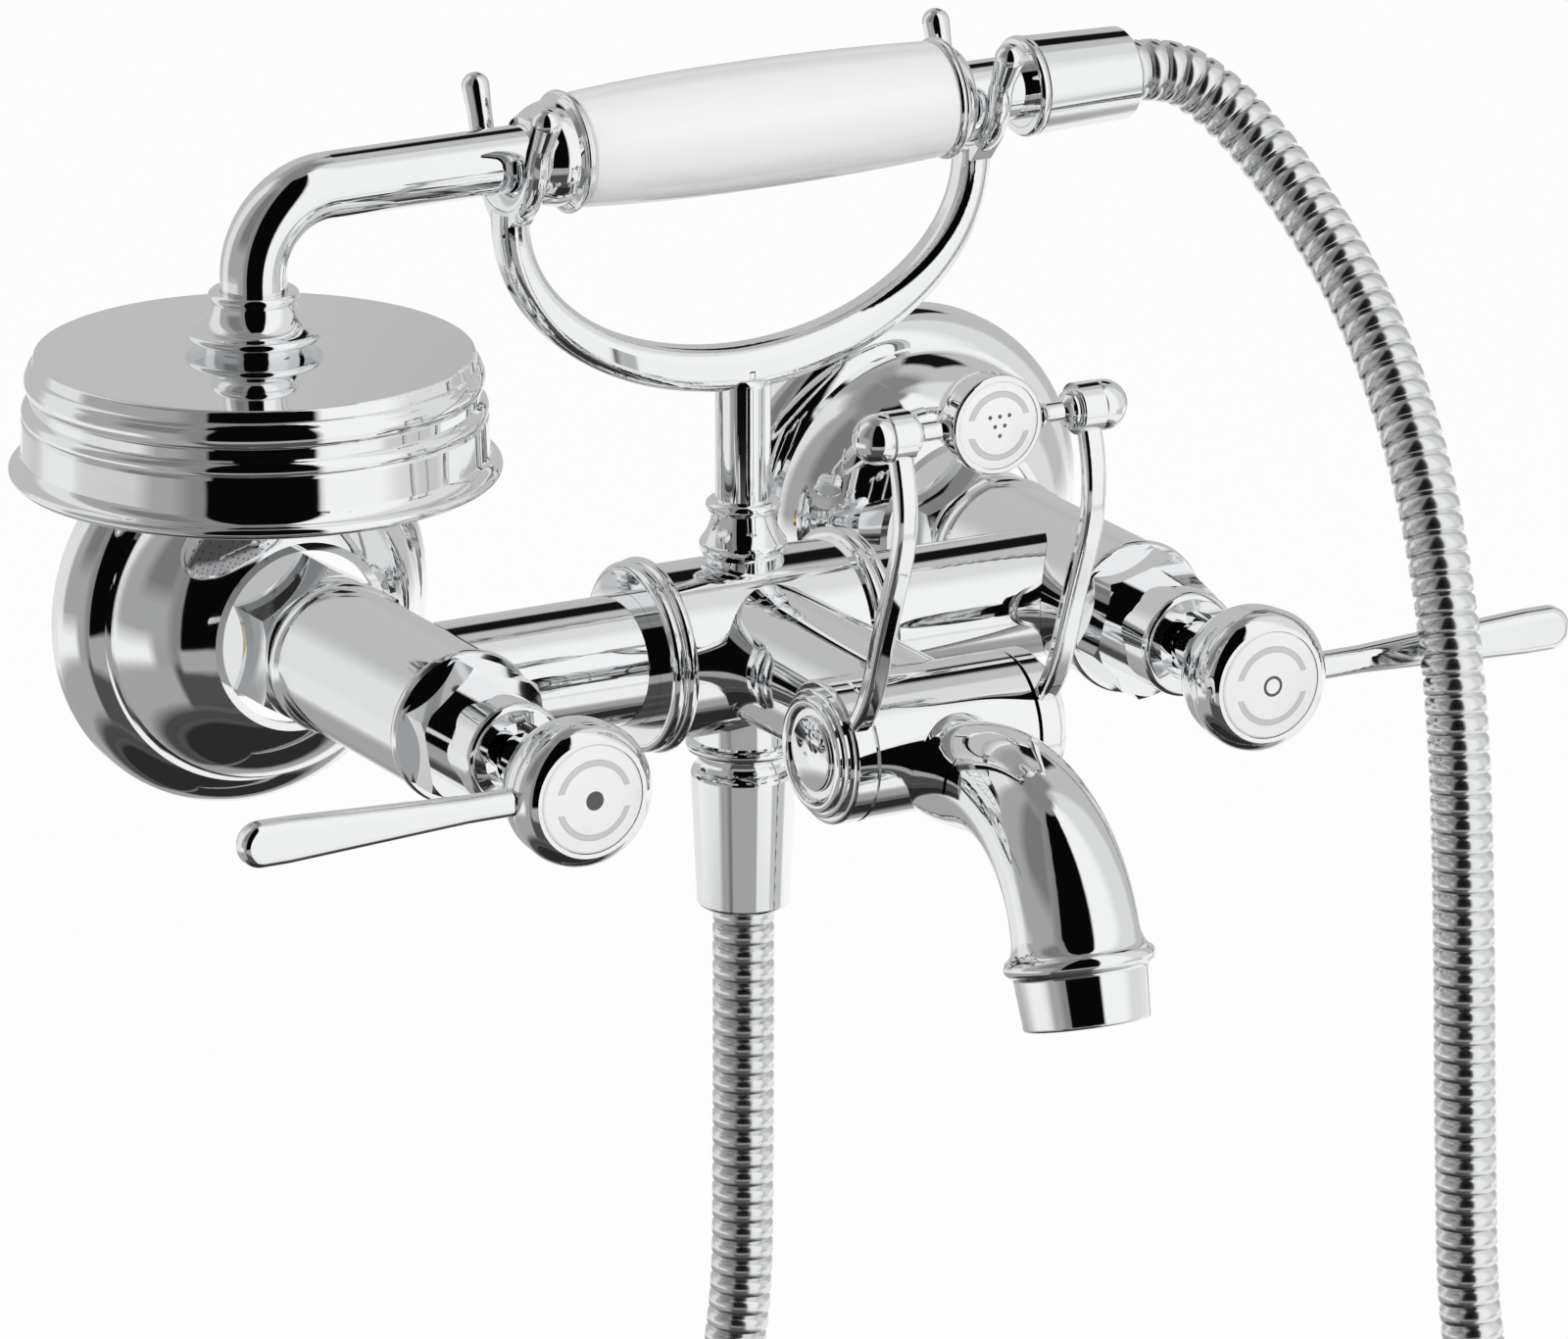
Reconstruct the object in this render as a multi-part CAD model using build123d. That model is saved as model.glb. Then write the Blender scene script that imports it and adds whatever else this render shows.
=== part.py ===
from build123d import *
import os
from math import cos, pi, radians, sin, sqrt, tan

# A two-handle bath mixer for a wall, with a spout, a lever diverter and a hand shower on a cradle.
# Millimetres. X runs along the wall, Z up, and the room is towards -Y from the wall face at Y 0.
# The origin lies on the wall, midway between the two supply threads.

os.makedirs("parts", exist_ok=True)

# Clearances
FIT = 0.05
RUNNING = 0.08
FACE_GAP = 0.3

# Wall unions, with distances counted from the wall into the room
INLET_SPACING = 150.0
UNION_RISE = 8.0
WALL_THREAD_R = 10.48
WALL_THREAD_LENGTH = 15.0
OFFSET_START = 6.0
OFFSET_LENGTH = 14.0
UNION_THREAD_R = 13.2
UNION_LENGTH = 36.0
UNION_BORE_R = 7.5
KEY_BAR = 2.5
KEY_BAR_LENGTH = 6.0

# Rosettes
ROSETTE_R = 40.75
ROSETTE_RIM = 2.6
ROSETTE_BAND_R = 34.4
ROSETTE_BAND_HEIGHT = 11.0
ROSETTE_STEP = 0.9
ROSETTE_HEIGHT = 29.3
ROSETTE_WALL = 1.6
ROSETTE_BAND_BULGE = 1.6
ROSETTE_DOME_BULGE = 3.0

# Union nuts
NUT_FLATS = 30.0
NUT_LENGTH = 18.8
NUT_LIP = 2.8
NUT_CHAMFER = 1.2

# Valve bodies and their inner parts
SEAL_THICKNESS = 2.0
TAIL_R = 12.1
TAIL_FLANGE = 2.0
TAIL_BORE_R = 8.0
VALVE_R = 14.8
VALVE_SHOULDER_R = 15.4
VALVE_SHOULDER = 4.6
VALVE_LENGTH = 52.8
VALVE_EDGE = 0.5
CROSS_FROM_SHOULDER = 29.9
CHECK_VALVE_LENGTH = 10.0
CHECK_VALVE_BORE_R = 4.0

# Ceramic headworks
CARTRIDGE_R = 9.9
CARTRIDGE_DEPTH = 36.0
CHAMBER_R = 7.0
CHAMBER_LENGTH = 18.0
WINDOW_R = 5.0
CERAMIC_THICKNESS = 2.4
CERAMIC_HOLE_R = 2.0
CERAMIC_HOLE_OFFSET = 3.4
HEAD_FLANGE_R = 15.5
HEAD_FLANGE = 2.5
HEAD_HEX_FLATS = 25.6
HEAD_HEX_LENGTH = 8.5
HEAD_HEX_CHAMFER = 1.0
HEAD_COLLAR_R = 10.7
HEAD_COLLAR_LENGTH = 12.7
HEAD_RECESS_R = 7.0
HEAD_RECESS_DEPTH = 6.7
HOT_HEX_TURN = 39.0
COLD_HEX_TURN = 15.0

# Handles
SPINDLE_R = 3.5
KNOB_GAP = 1.3
KNOB_SHANK_R = 5.3
KNOB_SHANK_LENGTH = 9.0
KNOB_FLARE_R = 6.8
KNOB_FLARE_LENGTH = 2.5
KNOB_R = 14.1
KNOB_WIDEST = 22.5
KNOB_RIM_R = 11.7
KNOB_LENGTH = 28.8
KNOB_BACK_BULGE = 2.4
KNOB_RIM_BULGE = 1.3
SOCKET_DEPTH = 18.0
SCREW_R = 2.0
SCREW_HEAD_R = 3.4
SCREW_HEAD = 3.0
SCREW_LENGTH = 10.0
SCREW_WEB = 2.0
CAP_R = 10.8
CAP_EDGE = 1.6
CAP_DOME = 0.9
LEVER_REACH = 72.0
LEVER_ROOT_HALF = 2.6
LEVER_WAIST = 24.0
LEVER_WAIST_HALF = 2.6
LEVER_BLADE = 62.0
LEVER_BLADE_HALF = 4.4
LEVER_THICKNESS = 4.8
LEVER_EDGE = 1.7
LEVER_SPIGOT_R = 2.0
LEVER_SPIGOT_DEPTH = 5.0

# Cross tubes, tee and rings
CROSS_R = 13.0
CROSS_BORE_R = 7.5
CROSS_SPIGOT_R = 9.0
TEE_R = 17.5
TEE_HALF = 20.0
TEE_SOCKET = 6.0
TEE_BORE_R = 9.0
COLLAR_R = 19.5
COLLAR_WIDTH = 5.6
COLLAR_GROOVE = 1.2
FORWARD_R = 14.0
FORWARD_REACH = 72.0
FORWARD_BORE_R = 7.5
PORT_SPIGOT_R = 9.3

# Diverter
HOUSING_R = 14.1
HOUSING_HALF = 18.0
HOUSING_WALL = 3.6
HOUSING_END = 3.0
SHAFT_R = 5.0
SPOOL_PORT_R = 6.0
SEAL_RING_R = 0.9
SEAL_RING_INSET = 3.0
HUB_WIDTH = 4.6
HUB_EDGE = 0.8
FORK_THICKNESS = 3.5
FORK_ROUTE = [(5.0, 4.5), (13.0, 11.0), (20.3, 28.0), (25.0, 40.0), (28.2, 50.0), (28.0, 60.0), (24.8, 69.0)]
FORK_EDGE = 1.3
EYE_R = 5.0
PIN_R = 2.4
PIN_BALL_R = 4.9
PIN_BALL_OUT = 1.6
PIN_NECK_R = 1.9
PIN_BEAD_R = 3.6
PIN_SPIGOT_R = 1.3
CAP_DISC_R = 12.6
CAP_BUTTON_R = 6.8
CAP_DISC_HEIGHT = 3.4
INDEX_R = 9.8
INDEX_FRONT = 3.0
INDEX_BACK = 9.8
INDEX_STEM_R = 4.2
INDEX_RECESS_R = 8.6
INDEX_RECESS = 1.4
INDEX_DOME = 0.6

# Spout
SPOUT_DROP = 1.7
SPOUT_RUN = 29.0
SPOUT_BEND_R = 30.0
SPOUT_LEAN = 16.0
SPOUT_ROOT_R = 11.0
SPOUT_END_R = 12.5
SPOUT_END_BORE_R = 9.6
SPOUT_COLLAR_R = 14.7
SPOUT_COLLAR_LENGTH = 7.5
SLEEVE_TOP_R = 13.1
SLEEVE_END_R = 12.4
SLEEVE_LENGTH = 9.8
SLEEVE_BORE_R = 10.8
SLEEVE_SEAT = 3.0
AERATOR_THICKNESS = 4.0
AERATOR_HOLE_R = 0.8
AERATOR_RINGS = 3

# Hose outlet under the tee, with heights counted from the mixer axis
OUTLET_BOSS_R = 10.2
OUTLET_BOSS_DROP = 20.0
NIPPLE_THREAD_R = 8.0
NIPPLE_ENGAGEMENT = 7.0
NIPPLE_FLANGE_R = 11.2
NIPPLE_FLANGE = 3.0
NIPPLE_NECK_R = 9.5
NIPPLE_NECK = 2.6
HOSE_THREAD_R = 8.3
HOSE_THREAD_LENGTH = 10.4
NIPPLE_BORE_R = 5.5
CONE_TOP_R = 10.5
CONE_END_R = 9.3
CONE_LENGTH = 29.0
CONE_CHAMFER = 0.9
CONE_SOCKET = 12.4

# Cradle
CRADLE_BOSS_R = 8.0
CRADLE_BOSS_RISE = 0.4
FERRULE_BULB_R = 8.7
FERRULE_NECK_R = 6.2
FERRULE_HEIGHT = 11.3
FERRULE_BULB_HEIGHT = 1.8
FERRULE_RING_HEIGHT = 2.6
PILLAR_R = 5.5
PILLAR_LENGTH = 21.8
PILLAR_SPIGOT_R = 4.0
PILLAR_SPIGOT = 5.0
BOW_HALF = 54.6
BOW_SIDE = 6.6
BOW_HEIGHT = 40.3
BOW_FOOT = 9.0
BOW_SEAT = 0.7
BOW_DEPTH = 8.0
BOW_EDGE = 2.9
BOW_BLEND_R = 3.9
BOW_BLEND_RISE = 2.7
BOW_BLEND_BULGE = 0.5
PRONG_R = 2.4
PRONG_HALF = 11.0
PRONG_SHOULDER = 2.5
PRONG_FLARE_R = 14.0
PRONG_FRONT_HALF = 15.2
PRONG_FRONT_RISE = 10.6
PRONG_FRONT_TIP_R = 3.0
PRONG_REAR_HALF = 14.0
PRONG_REAR_RISE = 11.4
PRONG_REAR_TIP_R = 2.75
PRONG_SWELL = 5.5
SADDLE_RISE = 2.4
SADDLE_DEPTH = 18.0
SADDLE_SIDE = 4.6

# Hand shower, with X counted from the middle of the mixer
HANDSET_RISE = 104.5
HEAD_X = -106.9
NECK_R = 6.5
NECK_BORE_R = 4.5
NECK_BEND_R = 16.0
HEAD_FACE_RISE = 50.0
HEAD_HEIGHT = 25.0
HEAD_PAD_R = 14.0
HEAD_TOP_R = 42.4
HEAD_TOP_FALL = 1.2
HEAD_BEAD_R = 44.3
HEAD_GROOVE_R = 43.4
HEAD_WALL_R = 45.1
HEAD_LIP_R = 47.5
HEAD_SKIN = 1.9
HEAD_LIP_HEIGHT = 3.2
PLATE_THICKNESS = 2.5
PLATE_INSET = 1.5
NOZZLE_R = 0.9
NOZZLE_PROUD = 1.0
NOZZLE_RINGS = 4
NOZZLE_RING_STEP = 9.0
NECK_ENGAGEMENT = 5.0
HEAD_FERRULE_FOOT_R = 10.0
HEAD_FERRULE_R = 13.4
HEAD_FERRULE_TOP_R = 8.6
HEAD_FERRULE_HEIGHT = 11.0
GRIP_START = -38.3
GRIP_LENGTH = 81.0
GRIP_FRONT_R = 11.2
GRIP_MIDDLE_R = 12.6
GRIP_REAR_R = 11.5
GRIP_BULGE = 0.75
CORE_R = 5.0
FERRULE_RIM_R = 12.0
FERRULE_RIM = 2.4
FERRULE_BELL_R = 10.4
FERRULE_STEP = 5.5
TAIL_NECK_R = 6.4
TAIL_NECK_LENGTH = 13.1
TAIL_THREAD_LENGTH = 11.0
HOSE_NUT_RING_R = 10.1
HOSE_NUT_RING = 2.4
HOSE_NUT_R = 9.85
HOSE_NUT_END_R = 9.2
HOSE_NUT_LENGTH = 24.2

# Metal hose: its route is (x, distance from the wall, height over the mixer axis)
HOSE_R = 6.2
HOSE_GROOVE_R = 5.55
HOSE_BORE_R = 4.5
HOSE_RIBS = 196
CROWN_SHARE = 0.6
GROOVE_AT = 0.98
HOSE_TOP_LEAD = 9.9
HOSE_FOOT_LEAD = 43.4
HOSE_ROUTE = [
    (104.2, 76.6, 98.8), (110.2, 84.4, 90.4), (114.2, 96.0, 79.4), (116.8, 110.0, 66.8),
    (117.2, 125.5, 50.8), (115.9, 140.8, 31.1), (114.0, 152.0, 8.8), (113.0, 158.8, -16.5),
    (112.9, 161.4, -50.0), (113.6, 161.9, -94.0), (114.4, 163.4, -143.0), (126.0, 173.3, -194.0),
    (146.0, 188.0, -247.0), (161.0, 199.0, -306.0), (157.0, 196.5, -368.0), (130.5, 176.0, -418.0),
    (90.0, 142.5, -444.5), (43.0, 107.0, -447.0), (-1.5, 72.0, -426.0), (-31.0, 49.0, -381.0),
    (-40.0, 42.0, -319.0), (-30.5, 49.5, -259.0), (-13.0, 63.0, -204.0), (-0.2, 72.4, -151.0),
]
HOSE_SHARE = 0.45

# Stations along a valve, counted from the wall
axis_z = UNION_RISE
valve_x = INLET_SPACING / 2
flange_face = UNION_LENGTH + SEAL_THICKNESS
lip_face = flange_face + TAIL_FLANGE
nut_end = lip_face + NUT_LIP
nut_start = nut_end - NUT_LENGTH
shoulder = nut_end + FACE_GAP
valve_end = shoulder + VALVE_LENGTH
cross_d = shoulder + CROSS_FROM_SHOULDER
seat_face = valve_end - CARTRIDGE_DEPTH
seal_top = seat_face + SEAL_THICKNESS
ceramic_top = seal_top + CERAMIC_THICKNESS
disc_start = ceramic_top + FIT
disc_top = disc_start + CERAMIC_THICKNESS
hex_start = valve_end + HEAD_FLANGE
collar_start = hex_start + HEAD_HEX_LENGTH
collar_end = collar_start + HEAD_COLLAR_LENGTH
knob_start = collar_end + KNOB_GAP
socket_end = knob_start + SOCKET_DEPTH
knob_middle = knob_start + KNOB_WIDEST
knob_end = knob_start + KNOB_LENGTH
screw_seat = socket_end + SCREW_WEB
cap_seat = knob_end - CAP_EDGE
housing_d = cross_d + FORWARD_REACH
cartridge_bore_r = CARTRIDGE_R + FIT
housing_bore_r = HOUSING_R - HOUSING_WALL

# Shaping helpers


def outline(corners):
    # A corner is (radius, height), or (radius, height, bulge) when an arc reaches it from the last
    # one: the bulge is the arc's rise over its chord, to the right of the way walked.
    edges = []
    last = corners[-1]
    for corner in corners:
        start = Vector(last[0], 0, last[1])
        end = Vector(corner[0], 0, corner[1])
        if len(corner) == 3:
            way = end - start
            right = Vector(way.Z, 0, -way.X) / way.length
            edges.append(ThreePointArc(start, (start + end) / 2 + right * corner[2], end))
        else:
            edges.append(Line(start, end))
        last = corner
    return make_face(edges)


def turned(*corners):
    return revolve(outline(corners), Axis.Z)


def dome(radius, start, top):
    # The corner at the axis that a sphere's cap reaches from a rim of this radius.
    chord = sqrt(radius ** 2 + (top - start) ** 2)
    sphere_r = chord ** 2 / (2 * (top - start))
    return (0, top, sphere_r - sqrt(sphere_r ** 2 - chord ** 2 / 4))


def rod(radius, start, end):
    return turned((0, start), (radius, start), (radius, end), (0, end))


def ring(outer, inner, start, end):
    return turned((inner, start), (outer, start), (outer, end), (inner, end))


def hexagon(flats, start, end, chamfer, turn):
    corner_r = flats / sqrt(3)
    prism = Plane.XY.offset(start) * extrude(RegularPolygon(corner_r, 6, rotation=turn), end - start)
    rounded = turned((0, start), (corner_r - chamfer, start), (corner_r, start + chamfer),
                     (corner_r, end - chamfer), (corner_r - chamfer, end), (0, end))
    return prism & rounded


def from_wall(x, height=axis_z):
    # Local Z is the distance from the wall, local X and Y are the wall's right and up.
    return Plane(origin=(x, 0, height), x_dir=(1, 0, 0), z_dir=(0, -1, 0))


def along_x(x, distance, height, side=1):
    # Local Z runs along X, outwards for side 1 and towards -X for side -1.
    return Plane(origin=(x, -distance, height), x_dir=(0, 1, 0), z_dir=(side, 0, 0))


def upright(x, distance, height=axis_z):
    return Plane(origin=(x, -distance, height))


def rod_sweep(points, radii, radius):
    path = FilletPolyline(*points, radius=radii)
    return sweep(Plane(origin=path @ 0, z_dir=path % 0) * Circle(radius), path)


# Supply side: unions, rosettes, nuts and seals


def wall_union(x):
    def solid(thread_r, end_r, reach):
        rear = from_wall(x, 0)
        front = from_wall(x)
        bend = loft([rear.offset(OFFSET_START) * Circle(thread_r),
                     front.offset(OFFSET_START + OFFSET_LENGTH) * Circle(end_r)])
        return (rear * rod(thread_r, -WALL_THREAD_LENGTH - reach, OFFSET_START) + bend
                + front * rod(end_r, OFFSET_START + OFFSET_LENGTH, UNION_LENGTH + reach))
    # A bar across the bore, halfway along the wall thread, takes the key that screws the union in.
    bar = from_wall(x, 0).offset((OFFSET_START - WALL_THREAD_LENGTH) / 2) * Box(
        2 * UNION_BORE_R, KEY_BAR, KEY_BAR_LENGTH)
    bar = bar & from_wall(x, 0) * rod(UNION_BORE_R + FIT, -WALL_THREAD_LENGTH, OFFSET_START)
    return solid(WALL_THREAD_R, UNION_THREAD_R, 0) - solid(UNION_BORE_R, UNION_BORE_R, FACE_GAP) + bar


def rosette(x):
    mouth_r = NUT_FLATS / sqrt(3) + FACE_GAP
    dome_r = ROSETTE_BAND_R - ROSETTE_STEP
    dome_start = ROSETTE_BAND_HEIGHT + ROSETTE_STEP
    wall = ROSETTE_WALL
    return from_wall(x) * turned(
        (ROSETTE_R - wall, 0), (ROSETTE_R, 0), (ROSETTE_R, ROSETTE_RIM),
        (ROSETTE_BAND_R, ROSETTE_BAND_HEIGHT, ROSETTE_BAND_BULGE),
        (dome_r, ROSETTE_BAND_HEIGHT), (dome_r, dome_start),
        (mouth_r + wall, ROSETTE_HEIGHT, ROSETTE_DOME_BULGE),
        (mouth_r, ROSETTE_HEIGHT), (mouth_r, ROSETTE_HEIGHT - wall),
        (dome_r - wall, dome_start - wall, -ROSETTE_DOME_BULGE),
        (ROSETTE_BAND_R - wall, ROSETTE_BAND_HEIGHT - wall),
        (ROSETTE_R - wall, ROSETTE_RIM, -ROSETTE_BAND_BULGE))


def union_nut(x):
    bore = ring(NUT_FLATS, UNION_THREAD_R + FIT, nut_start, lip_face)
    lip = ring(NUT_FLATS, TAIL_R + FIT, lip_face, nut_end)
    blank = hexagon(NUT_FLATS, nut_start, nut_end, NUT_CHAMFER, 30)
    return from_wall(x) * (blank & (bore + lip))


def flat_seals():
    seals = []
    for x in (-valve_x, valve_x):
        seals.append(from_wall(x) * ring(UNION_THREAD_R - FACE_GAP, UNION_BORE_R, UNION_LENGTH, flange_face))
        seals.append(from_wall(x) * ring(CARTRIDGE_R, CHAMBER_R - 1, seat_face, seal_top))
    washer_top = -(OUTLET_BOSS_DROP + NIPPLE_FLANGE + NIPPLE_NECK + HOSE_THREAD_LENGTH)
    seals.append(upright(0, cross_d) * ring(HOSE_THREAD_R, NIPPLE_BORE_R, washer_top - SEAL_THICKNESS, washer_top))
    return seals


def check_valves():
    start = lip_face
    body = ring(TAIL_BORE_R - FIT, CHECK_VALVE_BORE_R, start, start + CHECK_VALVE_LENGTH)
    return [from_wall(x) * body for x in (-valve_x, valve_x)]


def valve_body(x):
    side = -1 if x > 0 else 1
    outer = turned(
        (0, flange_face), (UNION_THREAD_R - FACE_GAP, flange_face), (UNION_THREAD_R - FACE_GAP, lip_face),
        (TAIL_R, lip_face), (TAIL_R, shoulder), (VALVE_R - 1.2, shoulder),
        (VALVE_SHOULDER_R, shoulder + VALVE_SHOULDER / 2, 0.4),
        (VALVE_R, shoulder + VALVE_SHOULDER, 0.2),
        (VALVE_R, valve_end - VALVE_EDGE), (VALVE_R - VALVE_EDGE, valve_end), (0, valve_end))
    bores = rod(TAIL_BORE_R, flange_face, seat_face) + rod(cartridge_bore_r, seat_face, valve_end)
    port = along_x(x, cross_d, axis_z, side) * rod(CROSS_SPIGOT_R + FIT, 0, VALVE_R + 1)
    return from_wall(x) * (outer - bores) - port


def headwork(x, turn):
    cartridge = rod(CARTRIDGE_R, seal_top, valve_end)
    flange = turned((0, valve_end), (HEAD_FLANGE_R - 0.4, valve_end),
                    (HEAD_FLANGE_R - 0.4, hex_start, 0.5), (0, hex_start))
    hexed = hexagon(HEAD_HEX_FLATS, hex_start, collar_start, HEAD_HEX_CHAMFER, turn)
    collar = turned((0, collar_start), (HEAD_COLLAR_R, collar_start), (HEAD_COLLAR_R, collar_end - 1.5),
                    (HEAD_COLLAR_R - 1.5, collar_end, 0.5), (0, collar_end))
    chamber = rod(CHAMBER_R, seal_top, seal_top + CHAMBER_LENGTH)
    stem = rod(SPINDLE_R + RUNNING, seal_top, collar_end)
    recess = rod(HEAD_RECESS_R, collar_end - HEAD_RECESS_DEPTH, collar_end)
    window = Plane(origin=(0, 0, cross_d), z_dir=(1, 0, 0)) * rod(WINDOW_R, -2 * CARTRIDGE_R, 2 * CARTRIDGE_R)
    window = window & ring(2 * CARTRIDGE_R, CHAMBER_R, seal_top, valve_end)
    return from_wall(x) * (cartridge + flange + hexed + collar - chamber - stem - recess - window)


def ceramic_disc(start):
    hole = Pos(0, CERAMIC_HOLE_OFFSET, 0) * rod(CERAMIC_HOLE_R, start, start + CERAMIC_THICKNESS)
    return rod(CHAMBER_R - RUNNING, start, start + CERAMIC_THICKNESS) - hole


# Handles


def knob_shape(grow):
    # The knob's outside, grown a little when it is cut from the lever's root.
    flare_end = knob_start + KNOB_SHANK_LENGTH + KNOB_FLARE_LENGTH
    return turned(
        (0, knob_start), (KNOB_SHANK_R + grow, knob_start),
        (KNOB_SHANK_R + grow, knob_start + KNOB_SHANK_LENGTH),
        (KNOB_FLARE_R + grow, flare_end, -0.3),
        (KNOB_R + grow, knob_middle, KNOB_BACK_BULGE),
        (KNOB_RIM_R + grow, knob_end, KNOB_RIM_BULGE), (0, knob_end))


def spindle():
    tapped = rod(SCREW_R + FIT, screw_seat - SCREW_LENGTH - 1, socket_end)
    return rod(SPINDLE_R, disc_top, socket_end) - tapped


def knob(side):
    socket = rod(SPINDLE_R + FIT, knob_start, socket_end)
    hole = rod(SCREW_R + FIT, socket_end, screw_seat)
    pocket = rod(SCREW_HEAD_R + FACE_GAP, screw_seat, cap_seat)
    recess = rod(CAP_R + FIT, cap_seat, knob_end)
    spigot = Plane(origin=(0, 0, knob_middle), z_dir=(side, 0, 0)) * rod(
        LEVER_SPIGOT_R + FIT, KNOB_R - LEVER_SPIGOT_DEPTH, KNOB_R + 1)
    return knob_shape(0) - socket - hole - pocket - recess - spigot


def knob_screw():
    return rod(SCREW_HEAD_R, screw_seat, screw_seat + SCREW_HEAD) + rod(SCREW_R, screw_seat - SCREW_LENGTH, screw_seat)


def knob_cap():
    top = knob_end + CAP_DOME
    return turned((0, cap_seat), (CAP_R, cap_seat), (CAP_R, knob_end - 0.3),
                  (CAP_R - 0.6, knob_end + 0.2, 0.1), dome(CAP_R - 0.6, knob_end + 0.2, top))


def lever(side):
    # Drawn in the plane that holds the lever's length and height, then given its thickness.
    root = KNOB_R - 2
    tip = LEVER_REACH - LEVER_BLADE_HALF
    upper = [Line((root, LEVER_ROOT_HALF), (LEVER_WAIST, LEVER_WAIST_HALF)),
             Line((LEVER_WAIST, LEVER_WAIST_HALF), (LEVER_BLADE, LEVER_BLADE_HALF)),
             Line((LEVER_BLADE, LEVER_BLADE_HALF), (tip, LEVER_BLADE_HALF))]
    lower = [edge.mirror(Plane.XZ) for edge in upper]
    nose = ThreePointArc((tip, LEVER_BLADE_HALF), (LEVER_REACH, 0), (tip, -LEVER_BLADE_HALF))
    heel = Line((root, -LEVER_ROOT_HALF), (root, LEVER_ROOT_HALF))
    face = make_face(upper + lower + [nose, heel])
    blade = extrude(face, LEVER_THICKNESS / 2, both=True)
    long_edges = [edge for edge in blade.edges() if abs(abs(edge.center().Z) - LEVER_THICKNESS / 2) < FIT
                  and edge.center().X > root + FIT]
    blade = fillet(long_edges, LEVER_EDGE)
    if side < 0:
        blade = mirror(blade, Plane.YZ)
    spigot = Plane(origin=(0, 0, 0), z_dir=(side, 0, 0)) * rod(
        LEVER_SPIGOT_R, KNOB_R - LEVER_SPIGOT_DEPTH + FIT, KNOB_R + 2)
    placed = Pos(0, 0, knob_middle) * blade - knob_shape(FIT)
    return placed + Pos(0, 0, knob_middle) * spigot


# Body: cross tubes, tee, rings and the diverter housing


def cross_tube(side):
    inner_end = TEE_HALF - TEE_SOCKET
    tube = along_x(0, cross_d, axis_z, side) * rod(CROSS_R, inner_end, valve_x)
    tube = tube - from_wall(side * valve_x) * rod(VALVE_R + FIT, shoulder - 5, valve_end + 5)
    spigot_end = valve_x - CARTRIDGE_R - FACE_GAP
    spigot = along_x(0, cross_d, axis_z, side) * rod(CROSS_SPIGOT_R, spigot_end - 8, spigot_end)
    bore = along_x(0, cross_d, axis_z, side) * rod(CROSS_BORE_R, inner_end, valve_x)
    return tube + spigot - bore


def tee_collar(side):
    bead = COLLAR_WIDTH / 2
    shape = turned(
        (CROSS_R + FIT, 0), (COLLAR_R - COLLAR_GROOVE, 0),
        (COLLAR_R - COLLAR_GROOVE, bead, COLLAR_GROOVE),
        (COLLAR_R - COLLAR_GROOVE - 1, COLLAR_WIDTH, COLLAR_GROOVE),
        (CROSS_R + FIT, COLLAR_WIDTH))
    return along_x(side * TEE_HALF, cross_d, axis_z, side) * shape


def tee_body():
    centre = along_x(0, cross_d, axis_z)
    forward = from_wall(0)
    upward = upright(0, cross_d)
    cradle_seat = TEE_R + CRADLE_BOSS_RISE
    body = centre * rod(TEE_R, -TEE_HALF, TEE_HALF)
    body += forward * rod(FORWARD_R, cross_d, housing_d)
    body += upward * rod(CRADLE_BOSS_R, 0, cradle_seat)
    body += upward * rod(OUTLET_BOSS_R, -OUTLET_BOSS_DROP, 0)
    body -= along_x(0, housing_d, axis_z) * rod(HOUSING_R + FIT, -TEE_HALF, TEE_HALF)
    spigot_end = housing_d - housing_bore_r - FACE_GAP
    body += forward * rod(PORT_SPIGOT_R, spigot_end - 6, spigot_end)
    for side in (-1, 1):
        body -= along_x(0, cross_d, axis_z, side) * rod(CROSS_R + FIT, TEE_HALF - TEE_SOCKET, TEE_HALF)
    body -= centre * rod(TEE_BORE_R, -TEE_HALF, TEE_HALF)
    body -= forward * rod(FORWARD_BORE_R, cross_d, housing_d)
    body -= upward * rod(PILLAR_SPIGOT_R + FIT, cradle_seat - PILLAR_SPIGOT - FACE_GAP, cradle_seat)
    body -= upward * rod(NIPPLE_THREAD_R + FIT, -OUTLET_BOSS_DROP, -OUTLET_BOSS_DROP + NIPPLE_ENGAGEMENT)
    body -= upward * rod(NIPPLE_BORE_R, -OUTLET_BOSS_DROP, 0)
    return body


def diverter_housing():
    centre = along_x(0, housing_d, axis_z)
    forward = from_wall(0)
    body = centre * turned((0, -HOUSING_HALF), (HOUSING_R - 0.5, -HOUSING_HALF), (HOUSING_R, 0.5 - HOUSING_HALF),
                           (HOUSING_R, HOUSING_HALF - 0.5), (HOUSING_R - 0.5, HOUSING_HALF), (0, HOUSING_HALF))
    body -= centre * rod(housing_bore_r, HOUSING_END - HOUSING_HALF, HOUSING_HALF)
    body -= centre * rod(SHAFT_R + RUNNING, -HOUSING_HALF, HOUSING_HALF)
    body -= forward * rod(PORT_SPIGOT_R + FIT, housing_d - HOUSING_R, housing_d)
    body -= upright(0, housing_d, axis_z - SPOUT_DROP) * Plane(origin=(0, 0, 0), z_dir=(0, -1, 0)) * rod(
        PORT_SPIGOT_R + FIT, 0, HOUSING_R + 1)
    return body


def diverter_plug():
    body = ring(housing_bore_r - FIT, SHAFT_R + RUNNING, HOUSING_HALF - HOUSING_END, HOUSING_HALF)
    return along_x(0, housing_d, axis_z) * body


# Diverter: shaft, spool, fork, pins and index


fork_x = HOUSING_HALF + FACE_GAP
fork_out = fork_x + HUB_WIDTH
bar_d = housing_d + FORK_ROUTE[-1][0]
bar_z = axis_z + FORK_ROUTE[-1][1]


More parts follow.
